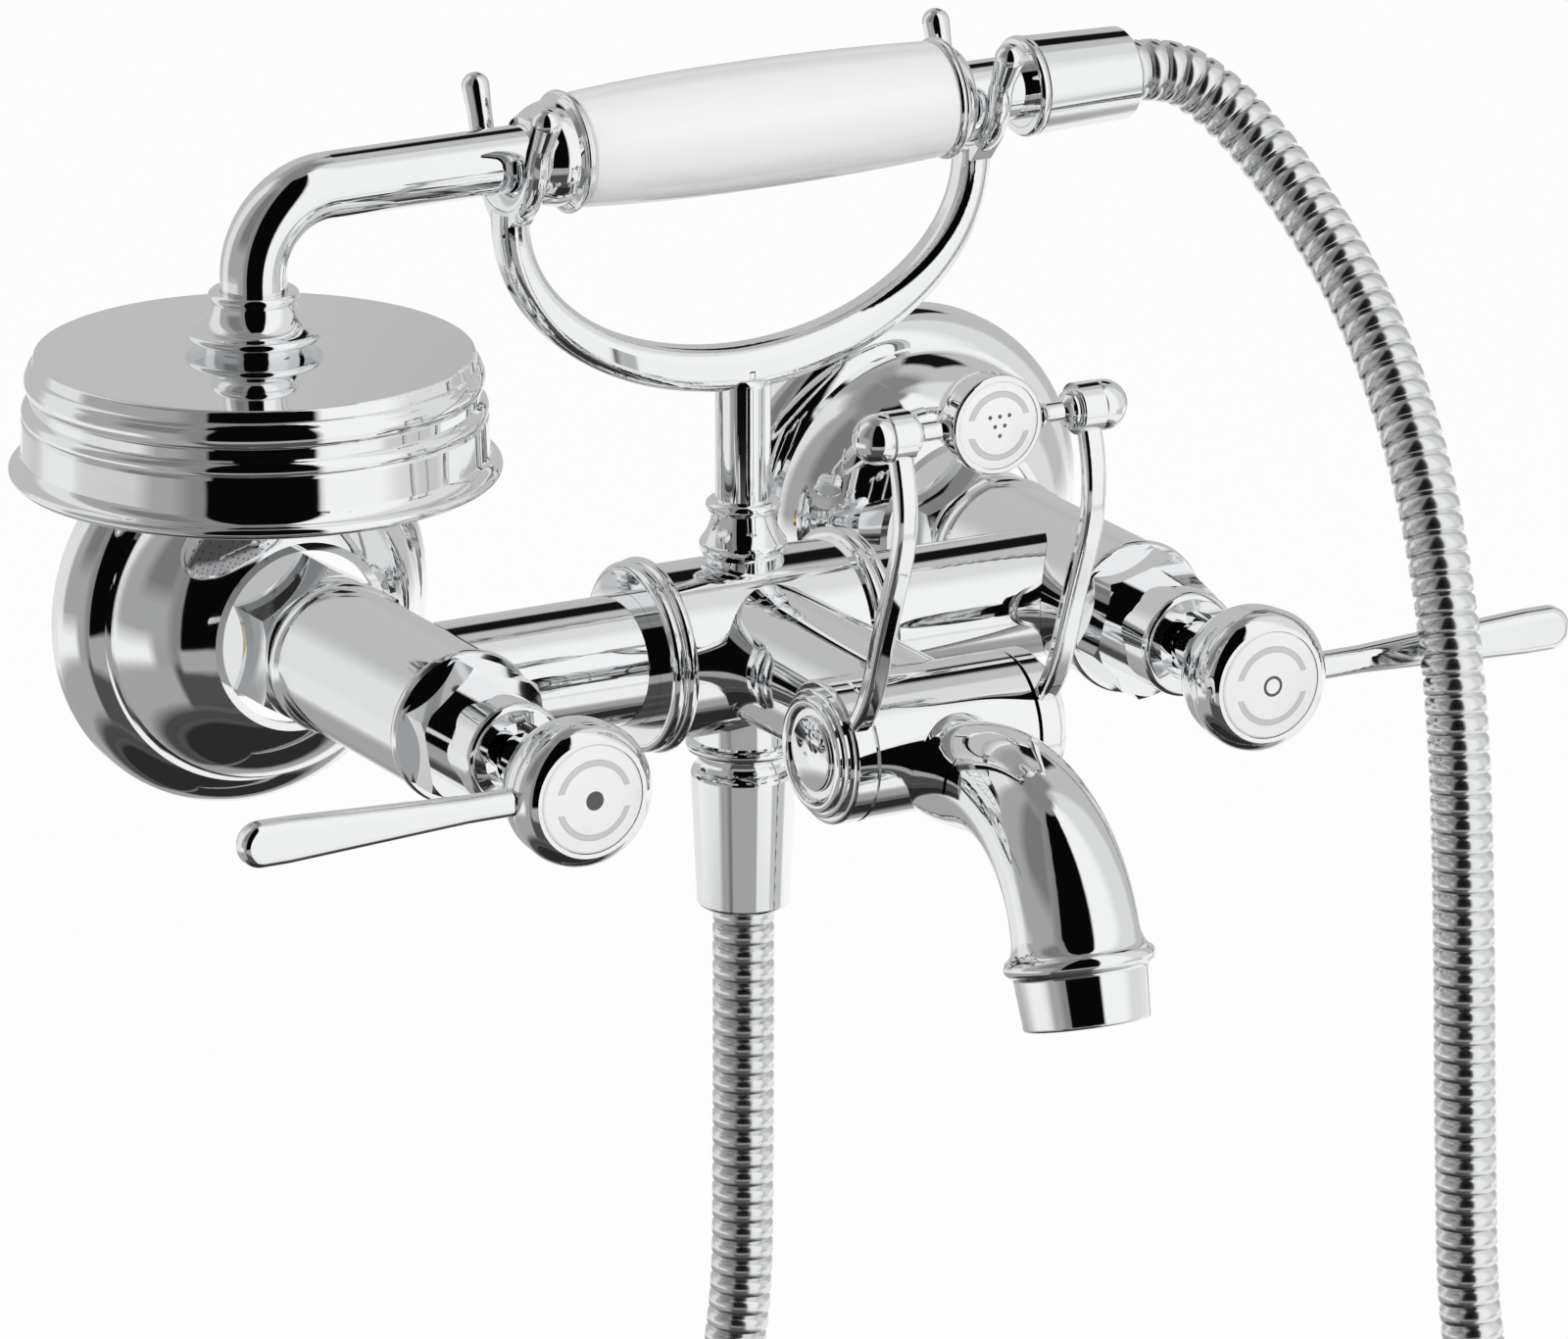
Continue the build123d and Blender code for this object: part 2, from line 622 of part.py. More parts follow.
def diverter_shaft():
    return along_x(0, housing_d, axis_z) * rod(SHAFT_R, -fork_out, fork_out)


def diverter_spool():
    half = HOUSING_HALF - HOUSING_END - FACE_GAP
    body = ring(housing_bore_r - RUNNING, SHAFT_R + FIT, -half, half)
    port = Plane(origin=(0, 0, 0), z_dir=(1, 0, 0)) * rod(SPOOL_PORT_R, -HOUSING_R, HOUSING_R)
    port = port & ring(2 * HOUSING_R, SHAFT_R + FIT + 1, -half, half)
    groove_r = housing_bore_r - RUNNING - 2 * SEAL_RING_R
    for place in (SEAL_RING_INSET - half, half - SEAL_RING_INSET):
        body -= ring(HOUSING_R, groove_r, place - SEAL_RING_R, place + SEAL_RING_R)
    return along_x(0, housing_d, axis_z) * (body - port)


def diverter_seals():
    half = HOUSING_HALF - HOUSING_END - FACE_GAP
    middle_r = housing_bore_r - RUNNING - SEAL_RING_R
    places = (SEAL_RING_INSET - half, half - SEAL_RING_INSET)
    return [along_x(place, housing_d, axis_z) * Torus(middle_r - FIT, SEAL_RING_R - FIT) for place in places]


def fork_arm(side):
    middle = side * (fork_x + HUB_WIDTH / 2)
    hub = turned((SHAFT_R + FIT, 0), (HOUSING_R, 0), (HOUSING_R, HUB_WIDTH - HUB_EDGE),
                 (HOUSING_R - HUB_EDGE, HUB_WIDTH, 0.2), (SHAFT_R + FIT, HUB_WIDTH))
    points = [(middle, -housing_d - d, axis_z + z) for d, z in FORK_ROUTE]
    path = Spline(*points)
    section = Plane(origin=path @ 0, x_dir=(1, 0, 0), z_dir=path % 0) * RectangleRounded(
        HUB_WIDTH, FORK_THICKNESS, FORK_EDGE)
    strip = sweep(section, path)
    eye = along_x(side * fork_x, bar_d, bar_z, side) * rod(EYE_R, 0, HUB_WIDTH)
    arm = along_x(side * fork_x, housing_d, axis_z, side) * hub + strip + eye
    arm -= along_x(side * fork_x, bar_d, bar_z, side) * rod(PIN_R + FIT, 0, HUB_WIDTH)
    return arm - along_x(side * fork_x, housing_d, axis_z, side) * rod(SHAFT_R + FIT, 0, HUB_WIDTH)


def fork_caps():
    cap = turned(
        (0, 0), (CAP_DISC_R, 0), (CAP_DISC_R, 0.9), (CAP_DISC_R - 1.2, 1.3, 0.15),
        (CAP_DISC_R - 1.2, 2.0), (CAP_DISC_R - 3.4, 2.0, 0.5), (CAP_DISC_R - 3.8, 1.5),
        (CAP_BUTTON_R + 0.6, 1.5), (CAP_BUTTON_R, 2.4, 0.2),
        dome(CAP_BUTTON_R, 2.4, CAP_DISC_HEIGHT))
    return [along_x(side * fork_out, housing_d, axis_z, side) * cap for side in (-1, 1)]


def fork_pins():
    # Ball end, shank through the eye, bead and neck, and a spigot into the index cup.
    cup_wall = INDEX_R - 1.2
    bead_start = fork_x - 1.6
    ball_centre = fork_out + PIN_BALL_OUT
    pins = []
    for side in (-1, 1):
        shank = turned(
            (0, cup_wall - 2.4), (PIN_SPIGOT_R, cup_wall - 2.4), (PIN_SPIGOT_R, INDEX_R + 0.3),
            (PIN_BEAD_R - 0.6, INDEX_R + 0.3), (PIN_NECK_R, INDEX_R + 2.4, -0.3),
            (PIN_NECK_R, bead_start - 1.4), (PIN_BEAD_R, bead_start, -0.2), (PIN_BEAD_R, fork_x, 0.2),
            (PIN_R, fork_x), (PIN_R, ball_centre), (0, ball_centre))
        ball = Pos(0, 0, ball_centre) * Sphere(PIN_BALL_R) - rod(2 * PIN_BALL_R, 0, fork_out)
        pins.append(along_x(0, bar_d, bar_z, side) * (shank + ball))
    return pins


def index_cup():
    front = bar_d + INDEX_FRONT
    back = bar_d - INDEX_BACK
    cup = turned(
        (0, back), (INDEX_STEM_R, back, 0.5), (INDEX_R - 0.6, bar_d - 1.4, 1.6), (INDEX_R - 0.6, bar_d - 0.6),
        (INDEX_R, bar_d), (INDEX_R, front - 0.5), (INDEX_R - 0.5, front, 0.1), (0, front))
    recess = rod(INDEX_RECESS_R, front - INDEX_RECESS, front)
    cup = from_wall(0, bar_z) * (cup - recess)
    for side in (-1, 1):
        cup -= along_x(0, bar_d, bar_z, side) * rod(PIN_SPIGOT_R + FIT, INDEX_R - 3.7, INDEX_R + 1)
        cup -= along_x(0, bar_d, bar_z, side) * rod(PIN_BEAD_R, INDEX_R + 0.2, INDEX_R + 1)
    return cup


def index_disc():
    front = bar_d + INDEX_FRONT
    disc = turned(
        (0, front - INDEX_RECESS), (INDEX_RECESS_R - FIT, front - INDEX_RECESS),
        (INDEX_RECESS_R - FIT, front - 0.2),
        dome(INDEX_RECESS_R - FIT, front - 0.2, front + INDEX_DOME))
    return from_wall(0, bar_z) * disc


# Spout and its outlet


spout_z = axis_z - SPOUT_DROP
spout_turn = 90 - SPOUT_LEAN


def spout_plane(angle):
    # A plane square to the spout's centre line, where it has turned down by the angle.
    turn = radians(angle)
    distance = housing_d + SPOUT_RUN + SPOUT_BEND_R * sin(turn)
    height = spout_z - SPOUT_BEND_R * (1 - cos(turn))
    return Plane(origin=(0, -distance, height), x_dir=(1, 0, 0), z_dir=(0, -cos(turn), -sin(turn)))


def spout_bend(start_distance, root_r, end_r):
    sections = [Plane(origin=(0, -start_distance, spout_z), x_dir=(1, 0, 0), z_dir=(0, -1, 0)) * Circle(root_r)]
    steps = 5
    for step in range(steps + 1):
        share = step / steps
        sections.append(spout_plane(spout_turn * share) * Circle(root_r + (end_r - root_r) * share))
    return loft(sections)


def spout():
    exit_plane = spout_plane(spout_turn)
    body = spout_bend(housing_d + 2, SPOUT_ROOT_R, SPOUT_END_R)
    body -= along_x(0, housing_d, axis_z) * rod(HOUSING_R + FIT, -TEE_HALF, TEE_HALF)
    spigot_start = housing_d + housing_bore_r + FACE_GAP
    body += from_wall(0, spout_z) * rod(PORT_SPIGOT_R, spigot_start, housing_d + HOUSING_R + 3)
    collar = turned(
        (0, 0), (SPOUT_END_R, 0), (SPOUT_END_R + 0.5, 2.4, -0.1), (SPOUT_COLLAR_R - 0.5, 3.8, -0.2),
        (SPOUT_COLLAR_R - 0.5, 6.4, 0.5), (SLEEVE_TOP_R, SPOUT_COLLAR_LENGTH, -0.2),
        (SLEEVE_BORE_R, SPOUT_COLLAR_LENGTH), (SLEEVE_BORE_R, SPOUT_COLLAR_LENGTH + SLEEVE_SEAT),
        (0, SPOUT_COLLAR_LENGTH + SLEEVE_SEAT))
    body += exit_plane * collar
    body -= from_wall(0, spout_z) * rod(FORWARD_BORE_R, housing_d, housing_d + SPOUT_RUN)
    body -= spout_bend(housing_d + SPOUT_RUN - 1, FORWARD_BORE_R, SPOUT_END_BORE_R)
    return body - exit_plane * rod(SPOUT_END_BORE_R, 0, SPOUT_COLLAR_LENGTH + SLEEVE_SEAT)


def aerator_sleeve():
    top = SPOUT_COLLAR_LENGTH
    end = top + SLEEVE_LENGTH
    shape = turned(
        (SLEEVE_BORE_R + FIT, top), (SLEEVE_TOP_R, top), (SLEEVE_END_R, end - 0.6),
        (SLEEVE_END_R - 0.6, end, 0.15), (SLEEVE_BORE_R + FIT, end))
    return spout_plane(spout_turn) * shape


def aerator_insert():
    top = SPOUT_COLLAR_LENGTH + SLEEVE_SEAT
    plate = rod(SLEEVE_BORE_R, top, top + AERATOR_THICKNESS)
    holes = []
    for ring_number in range(1, AERATOR_RINGS + 1):
        holes += PolarLocations(ring_number * SLEEVE_BORE_R / (AERATOR_RINGS + 1), 6 * ring_number) * rod(
            AERATOR_HOLE_R, top, top + AERATOR_THICKNESS)
    return spout_plane(spout_turn) * (plate - holes)


# Hose outlet


def outlet_nipple():
    top = NIPPLE_ENGAGEMENT - OUTLET_BOSS_DROP
    seat = -OUTLET_BOSS_DROP
    flange_end = seat - NIPPLE_FLANGE
    neck_end = flange_end - NIPPLE_NECK
    thread_end = neck_end - HOSE_THREAD_LENGTH
    shape = turned(
        (NIPPLE_BORE_R, thread_end), (HOSE_THREAD_R, thread_end), (HOSE_THREAD_R, neck_end),
        (NIPPLE_NECK_R, neck_end), (NIPPLE_NECK_R, flange_end, -0.2), (NIPPLE_FLANGE_R, flange_end + 1, -0.2),
        (NIPPLE_FLANGE_R - 0.3, seat, 0.4), (NIPPLE_THREAD_R, seat), (NIPPLE_THREAD_R, top),
        (NIPPLE_BORE_R, top))
    return upright(0, cross_d) * shape


outlet_cone_top = -(OUTLET_BOSS_DROP + NIPPLE_FLANGE + NIPPLE_NECK)
outlet_cone_end = outlet_cone_top - CONE_LENGTH


def outlet_nut():
    socket_end = outlet_cone_top - CONE_SOCKET
    shape = turned(
        (HOSE_BORE_R, outlet_cone_end), (CONE_END_R - CONE_CHAMFER, outlet_cone_end),
        (CONE_END_R, outlet_cone_end + CONE_CHAMFER, 0.1), (CONE_TOP_R, outlet_cone_top - 2 * CONE_CHAMFER),
        (CONE_TOP_R - CONE_CHAMFER, outlet_cone_top, 0.2), (HOSE_THREAD_R + FIT, outlet_cone_top),
        (HOSE_THREAD_R + FIT, socket_end), (HOSE_BORE_R, socket_end))
    return upright(0, cross_d) * shape


# Cradle


ferrule_seat = TEE_R + CRADLE_BOSS_RISE
pillar_start = ferrule_seat + FERRULE_HEIGHT
pillar_end = pillar_start + PILLAR_LENGTH
bow_bottom = pillar_end + BOW_SEAT
bow_centre = bow_bottom + BOW_HEIGHT
prong_x = BOW_HALF - BOW_SIDE / 2
prong_bottom = HANDSET_RISE - NECK_R - FACE_GAP - PRONG_R
saddle_r = PRONG_HALF - FACE_GAP


def cradle_ferrule():
    ring_start = ferrule_seat + FERRULE_HEIGHT - FERRULE_RING_HEIGHT
    shape = turned(
        (PILLAR_SPIGOT_R + FIT, ferrule_seat), (CRADLE_BOSS_R, ferrule_seat),
        (FERRULE_BULB_R, ferrule_seat + FERRULE_BULB_HEIGHT, 0.2),
        (FERRULE_BULB_R - 0.2, ferrule_seat + 1.6 * FERRULE_BULB_HEIGHT, 0.1),
        (FERRULE_NECK_R, ring_start, -0.5), (FERRULE_NECK_R, pillar_start, 1.2),
        (PILLAR_SPIGOT_R + FIT, pillar_start))
    return upright(0, cross_d) * shape


def cradle_pillar():
    shape = rod(PILLAR_R, pillar_start, pillar_end) + rod(
        PILLAR_SPIGOT_R, ferrule_seat - PILLAR_SPIGOT, pillar_end + BOW_FOOT / 2)
    return upright(0, cross_d) * shape


def prong_rod(side, radius):
    # A corner is (distance across the grip towards the room, height over the mixer axis).
    top = HANDSET_RISE + PRONG_SHOULDER
    corners = [(-PRONG_REAR_HALF, HANDSET_RISE + PRONG_REAR_RISE), (-PRONG_HALF, top), (-PRONG_HALF, prong_bottom),
               (PRONG_HALF, prong_bottom), (PRONG_HALF, top), (PRONG_FRONT_HALF, HANDSET_RISE + PRONG_FRONT_RISE)]
    points = [(side * prong_x, -cross_d - across, axis_z + height) for across, height in corners]
    return rod_sweep(points, [PRONG_FLARE_R, saddle_r, saddle_r, PRONG_FLARE_R], radius)


def prong_tip(side, across, rise, tip_r):
    # The finger's end swells over its last straight stretch into a rounded tip.
    shape = turned((0, -PRONG_SWELL), (PRONG_R, -PRONG_SWELL), (tip_r, 0), dome(tip_r, 0, tip_r))
    foot = PRONG_HALF if across > 0 else -PRONG_HALF
    lean = Vector(0, foot - across, rise - PRONG_SHOULDER)
    origin = (side * prong_x, -cross_d - across, axis_z + HANDSET_RISE + rise)
    return Plane(origin=origin, x_dir=(1, 0, 0), z_dir=lean) * shape


def cradle_prongs():
    prongs = []
    for side in (-1, 1):
        rear = prong_tip(side, -PRONG_REAR_HALF, PRONG_REAR_RISE, PRONG_REAR_TIP_R)
        front = prong_tip(side, PRONG_FRONT_HALF, PRONG_FRONT_RISE, PRONG_FRONT_TIP_R)
        prongs.append(prong_rod(side, PRONG_R) + rear + front)
    return prongs


def saddle(side):
    # The arm's top, with a wedge that widens under the prong as far up as the middle of its rod.
    top = prong_bottom + SADDLE_RISE - bow_centre
    flank = Polyline((-BOW_DEPTH / 2, 0), (BOW_DEPTH / 2, 0), (SADDLE_DEPTH / 2, top), (-SADDLE_DEPTH / 2, top),
                     close=True)
    wedge = make_face(flank) - Pos(0, prong_bottom + saddle_r - bow_centre) * Circle(saddle_r)
    plane = Plane(origin=(side * prong_x, -cross_d, axis_z + bow_centre), x_dir=(0, 1, 0), z_dir=(1, 0, 0))
    post = upright(side * prong_x, cross_d, axis_z + bow_centre) * extrude(
        RectangleRounded(BOW_SIDE, BOW_DEPTH, BOW_EDGE), prong_bottom - PRONG_R / 2 - bow_centre)
    return post + plane * extrude(wedge, SADDLE_SIDE / 2, both=True)


def cradle_bow():
    upper_half = Pos(0, BOW_HEIGHT) * Rectangle(3 * BOW_HALF, 2 * BOW_HEIGHT)
    curve = Ellipse(BOW_HALF, BOW_HEIGHT) - Ellipse(BOW_HALF - BOW_SIDE, BOW_HEIGHT - BOW_FOOT) - upper_half
    plane = Plane(origin=(0, -cross_d, axis_z + bow_centre), x_dir=(1, 0, 0), z_dir=(0, -1, 0))
    bow = extrude(curve, BOW_DEPTH / 2, both=True)
    round_edges = [edge for edge in bow.edges() if abs(abs(edge.center().Z) - BOW_DEPTH / 2) < FIT
                   and edge.center().Y < -1]
    bow = plane * fillet(round_edges, BOW_EDGE)
    blend_start = bow_bottom + BOW_SEAT
    blend_end = bow_bottom + BOW_BLEND_RISE
    bow += upright(0, cross_d) * turned(
        (0, pillar_end), (PILLAR_R, pillar_end), (PILLAR_R, blend_start),
        (BOW_BLEND_R, blend_end, BOW_BLEND_BULGE), (0, blend_end))
    bow -= upright(0, cross_d) * rod(PILLAR_SPIGOT_R + FIT, pillar_end, pillar_end + BOW_FOOT / 2 + FACE_GAP)
    for side in (-1, 1):
        bow += saddle(side)
        bow -= prong_rod(side, PRONG_R + FIT)
    return bow


# Hand shower


handset_z = axis_z + HANDSET_RISE
head_top = HEAD_FACE_RISE + HEAD_HEIGHT
plate_bottom = HEAD_FACE_RISE + PLATE_INSET
grip_end = GRIP_START + GRIP_LENGTH
rear_end = prong_x - PRONG_R - FACE_GAP
front_start = -rear_end
front_ferrule_length = GRIP_START - front_start
rear_ferrule_length = rear_end - grip_end
thread_start = rear_end + TAIL_NECK_LENGTH
hose_nut_end = thread_start + HOSE_NUT_LENGTH


def head_shell():
    rim = head_top - HEAD_TOP_FALL
    foot = HEAD_FACE_RISE
    skin = HEAD_SKIN
    shape = turned(
        (0, head_top - skin), (0, head_top), (HEAD_PAD_R, head_top), (HEAD_TOP_R - 0.5, rim, -0.2),
        (HEAD_TOP_R, rim - 0.5, -0.1), (HEAD_TOP_R + 0.4, rim - 2.2), (HEAD_BEAD_R - 0.6, rim - 3.4, -0.2),
        (HEAD_BEAD_R - 0.6, rim - 7.2, -0.6), (HEAD_GROOVE_R, rim - 7.6), (HEAD_GROOVE_R, rim - 9.4),
        (HEAD_WALL_R - 0.9, rim - 9.8), (HEAD_WALL_R - 0.5, rim - 12.4, -0.5), (HEAD_WALL_R - 0.2, rim - 13.0),
        (HEAD_WALL_R, foot + HEAD_LIP_HEIGHT + 1.2), (HEAD_LIP_R - 0.5, foot + HEAD_LIP_HEIGHT - 1.2, 0.5),
        (HEAD_LIP_R - 0.6, foot, -0.6), (HEAD_WALL_R - skin, foot), (HEAD_WALL_R - skin, rim - 14.0),
        (HEAD_TOP_R - skin, rim - 4.0), (HEAD_TOP_R - skin, rim - 2 * skin), (HEAD_PAD_R, head_top - skin))
    return upright(HEAD_X, cross_d) * (shape - rod(NECK_R + FIT, head_top - 2 * skin, head_top))


def nozzle_places():
    places = [Location((0, 0, 0))]
    for ring_number in range(1, NOZZLE_RINGS + 1):
        places += PolarLocations(ring_number * NOZZLE_RING_STEP, 6 * ring_number).local_locations
    return places


def spray_plate():
    plate = rod(HEAD_WALL_R - HEAD_SKIN - FIT, plate_bottom, plate_bottom + PLATE_THICKNESS)
    hole = rod(NOZZLE_R + FIT, plate_bottom, plate_bottom + PLATE_THICKNESS)
    return upright(HEAD_X, cross_d) * (plate - [place * hole for place in nozzle_places()])


def spray_nozzles():
    nozzle = turned((0, plate_bottom - NOZZLE_PROUD), (NOZZLE_R / 2, plate_bottom - NOZZLE_PROUD),
                    (NOZZLE_R, plate_bottom), (NOZZLE_R, plate_bottom + PLATE_THICKNESS),
                    (0, plate_bottom + PLATE_THICKNESS))
    return [upright(HEAD_X, cross_d) * (place * nozzle) for place in nozzle_places()]


def head_ferrule():
    top = head_top + HEAD_FERRULE_HEIGHT
    shape = turned(
        (NECK_R + FIT, head_top), (HEAD_FERRULE_FOOT_R, head_top), (HEAD_FERRULE_R - 0.6, head_top + 1.8, -0.4),
        (HEAD_FERRULE_R - 0.6, head_top + 3.6, 0.7), (HEAD_FERRULE_TOP_R - 0.4, top - 2.2, -1.1),
        (HEAD_FERRULE_TOP_R - 0.4, top, 0.6), (NECK_R + FIT, top))
    return upright(HEAD_X, cross_d) * shape


def neck_tube():
    start = axis_z + head_top - NECK_ENGAGEMENT + HEAD_SKIN
    points = [(HEAD_X, -cross_d, start), (HEAD_X, -cross_d, handset_z),
              (front_start + FERRULE_STEP, -cross_d, handset_z)]
    return rod_sweep(points, [NECK_BEND_R], NECK_R) - rod_sweep(points, [NECK_BEND_R], NECK_BORE_R)


def ferrule_bell(length, throat_r, collar_r):
    # A bell that opens from its throat to the beaded rim against the grip.
    rim_start = length - FERRULE_RIM
    return turned(
        (throat_r + FIT, 0), (collar_r, 0), (collar_r + 0.6, length * 0.12, 0.1),
        (FERRULE_BELL_R, rim_start - 0.5, 0.25 * (FERRULE_BELL_R - collar_r)), (FERRULE_BELL_R + 0.6, rim_start),
        (FERRULE_RIM_R - 0.3, rim_start + 0.4, -0.1), (FERRULE_RIM_R - 0.3, rim_start + 1.5, 0.4),
        (FERRULE_RIM_R - 0.6, length, 0.1), (CORE_R + FIT, length), (CORE_R + FIT, min(FERRULE_STEP, rim_start)),
        (throat_r + FIT, min(FERRULE_STEP, rim_start)))


def grip_ferrule_front():
    return along_x(front_start, cross_d, handset_z) * ferrule_bell(front_ferrule_length, NECK_R, NECK_R + 1.3)


def grip_ferrule_rear():
    return along_x(rear_end, cross_d, handset_z, -1) * ferrule_bell(rear_ferrule_length, TAIL_NECK_R, TAIL_NECK_R + 0.5)


def grip():
    middle = GRIP_START + 0.45 * GRIP_LENGTH
    shape = turned(
        (CORE_R + FIT, GRIP_START), (GRIP_FRONT_R - 0.4, GRIP_START), (GRIP_FRONT_R, GRIP_START + 0.8, 0.1),
        (GRIP_MIDDLE_R, middle, GRIP_BULGE / 2), (GRIP_REAR_R, grip_end - 0.8, GRIP_BULGE / 2),
        (GRIP_REAR_R - 0.4, grip_end, 0.1), (CORE_R + FIT, grip_end))
    return along_x(0, cross_d, handset_z) * shape


def handset_tail():
    core_start = front_start + FERRULE_STEP
    rear_step = rear_end - min(FERRULE_STEP, rear_ferrule_length - FERRULE_RIM)
    shape = turned(
        (HOSE_BORE_R - 1, core_start), (CORE_R, core_start), (CORE_R, rear_step), (TAIL_NECK_R, rear_step),
        (TAIL_NECK_R, thread_start), (NIPPLE_THREAD_R, thread_start),
        (NIPPLE_THREAD_R, thread_start + TAIL_THREAD_LENGTH), (HOSE_BORE_R - 1, thread_start + TAIL_THREAD_LENGTH))
    return along_x(0, cross_d, handset_z) * shape


def handset_nut():
    ring_end = thread_start + HOSE_NUT_RING
    socket = thread_start + CONE_SOCKET
    shape = turned(
        (NIPPLE_THREAD_R + RUNNING, thread_start), (HOSE_NUT_RING_R - 0.6, thread_start),
        (HOSE_NUT_RING_R - 0.6, ring_end, 0.6), (HOSE_NUT_R, ring_end), (HOSE_NUT_END_R, hose_nut_end - CONE_CHAMFER),
        (HOSE_NUT_END_R - CONE_CHAMFER, hose_nut_end, 0.1), (HOSE_BORE_R, hose_nut_end), (HOSE_BORE_R, socket),
        (NIPPLE_THREAD_R + RUNNING, socket))
    return along_x(0, cross_d, handset_z) * shape


# Hose


def hose_path():
    top = Vector(hose_nut_end, -cross_d, handset_z)
    foot = Vector(0, -cross_d, axis_z + outlet_cone_end)
    inner = [Vector(x, -distance, axis_z + height) for x, distance, height in HOSE_ROUTE]
    points = [top, top + (HOSE_TOP_LEAD, 0, 0)] + inner + [foot - (0, 0, HOSE_FOOT_LEAD), foot]
    radii = []
    for before, point, after in zip(points, points[1:], points[2:]):
        turn = (point - before).get_angle(after - point)
        shorter = min((point - before).length, (after - point).length)
        radii.append(HOSE_SHARE * shorter / tan(radians(turn) / 2))
    print("hose bend radii", [round(radius, 1) for radius in radii])
    return FilletPolyline(*points, radius=radii)


def hose():
    # Each rib is a hoop with sloping sides: two circles in the groove and two on the crown.
    path = hose_path()
    # A direction that no stretch of the hose runs along keeps the circles from twisting.
    steady = Vector(-1, -1.3, 0)
    straight = 2 * HOSE_R / path.length
    pitch = (1 - 2 * straight) / HOSE_RIBS

    def section(share, radius):
        along = path % share
        x_dir = steady - along * steady.dot(along)
        return Plane(origin=path @ share, x_dir=x_dir, z_dir=along) * Circle(radius)

    places = [(0, HOSE_R)]
    for number in range(HOSE_RIBS):
        start = straight + number * pitch
        slope = (1 - CROWN_SHARE) / 2 * pitch
        places += [(start, HOSE_GROOVE_R), (start + slope, HOSE_R),
                   (start + pitch - slope, HOSE_R), (start + GROOVE_AT * pitch, HOSE_GROOVE_R)]
    places.append((1, HOSE_GROOVE_R))
    tube = loft([section(share, radius) for share, radius in places], ruled=True)
    bore = sweep(Plane(origin=path @ 0, x_dir=steady, z_dir=path % 0) * Circle(HOSE_BORE_R), path)
    result = tube - bore
    slope_r2 = (HOSE_R ** 2 + HOSE_R * HOSE_GROOVE_R + HOSE_GROOVE_R ** 2) / 3
    section_area = pi * (CROWN_SHARE * HOSE_R ** 2 + (1 - CROWN_SHARE) * slope_r2 - HOSE_BORE_R ** 2)
    print("hose length", round(path.length, 1), "volume", round(result.volume),
          "section by length", round(section_area * path.length))
    return result


handles = {"hot": (-valve_x, -1, HOT_HEX_TURN), "cold": (valve_x, 1, COLD_HEX_TURN)}
pieces = {
    "flat_seals": flat_seals(),
    "check_valves": check_valves(),
    "tee_collars": [tee_collar(-1), tee_collar(1)],
    "tee_body": tee_body(),
    "diverter_housing": diverter_housing(),
    "diverter_plug": diverter_plug(),
    "ceramic_seats": [from_wall(x) * ceramic_disc(seal_top) for x in (-valve_x, valve_x)],
    "spout": spout(),
    "aerator_sleeve": aerator_sleeve(),
    "aerator_insert": aerator_insert(),
    "outlet_nipple": outlet_nipple(),
    "outlet_nut": outlet_nut(),
    "cradle_ferrule": cradle_ferrule(),
    "cradle_pillar": cradle_pillar(),
    "cradle_bow": cradle_bow(),
    "cradle_prongs": cradle_prongs(),
    "diverter_shaft": diverter_shaft(),
    "diverter_spool": diverter_spool(),
    "diverter_seals": diverter_seals(),
    "fork_caps": fork_caps(),
    "fork_pins": fork_pins(),
    "index_cup": index_cup(),
    "index_disc": index_disc(),
    "head_shell": head_shell(),
    "spray_plate": spray_plate(),
    "spray_nozzles": spray_nozzles(),
    "head_ferrule": head_ferrule(),
    "neck_tube": neck_tube(),
    "grip_ferrule_front": grip_ferrule_front(),
    "grip": grip(),
    "grip_ferrule_rear": grip_ferrule_rear(),
    "handset_tail": handset_tail(),
    "handset_nut": handset_nut(),
    "hose": hose(),
}
for name, side in (("left", -1), ("right", 1)):
    pieces["wall_union_" + name] = wall_union(side * valve_x)
    pieces["wall_rosette_" + name] = rosette(side * valve_x)
    pieces["union_nut_" + name] = union_nut(side * valve_x)
    pieces["valve_body_" + name] = valve_body(side * valve_x)
    pieces["cross_tube_" + name] = cross_tube(side)
    pieces["fork_arm_" + name] = fork_arm(side)
for name, (x, side, hex_turn) in handles.items():
    pieces["headwork_" + name] = headwork(x, hex_turn)
    pieces[name + "_spindle"] = from_wall(x) * spindle()
    pieces[name + "_disc"] = from_wall(x) * ceramic_disc(disc_start)
    pieces[name + "_hub"] = from_wall(x) * knob(side)
    pieces[name + "_lever"] = from_wall(x) * lever(side)
    pieces[name + "_cap"] = from_wall(x) * knob_cap()
    pieces[name + "_screw"] = from_wall(x) * knob_screw()

for name, shape in pieces.items():
    if isinstance(shape, list):
        shape = Compound(children=[solid for part in shape for solid in part.solids()])
    export_step(shape, f"parts/{name}.step")
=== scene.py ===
import math

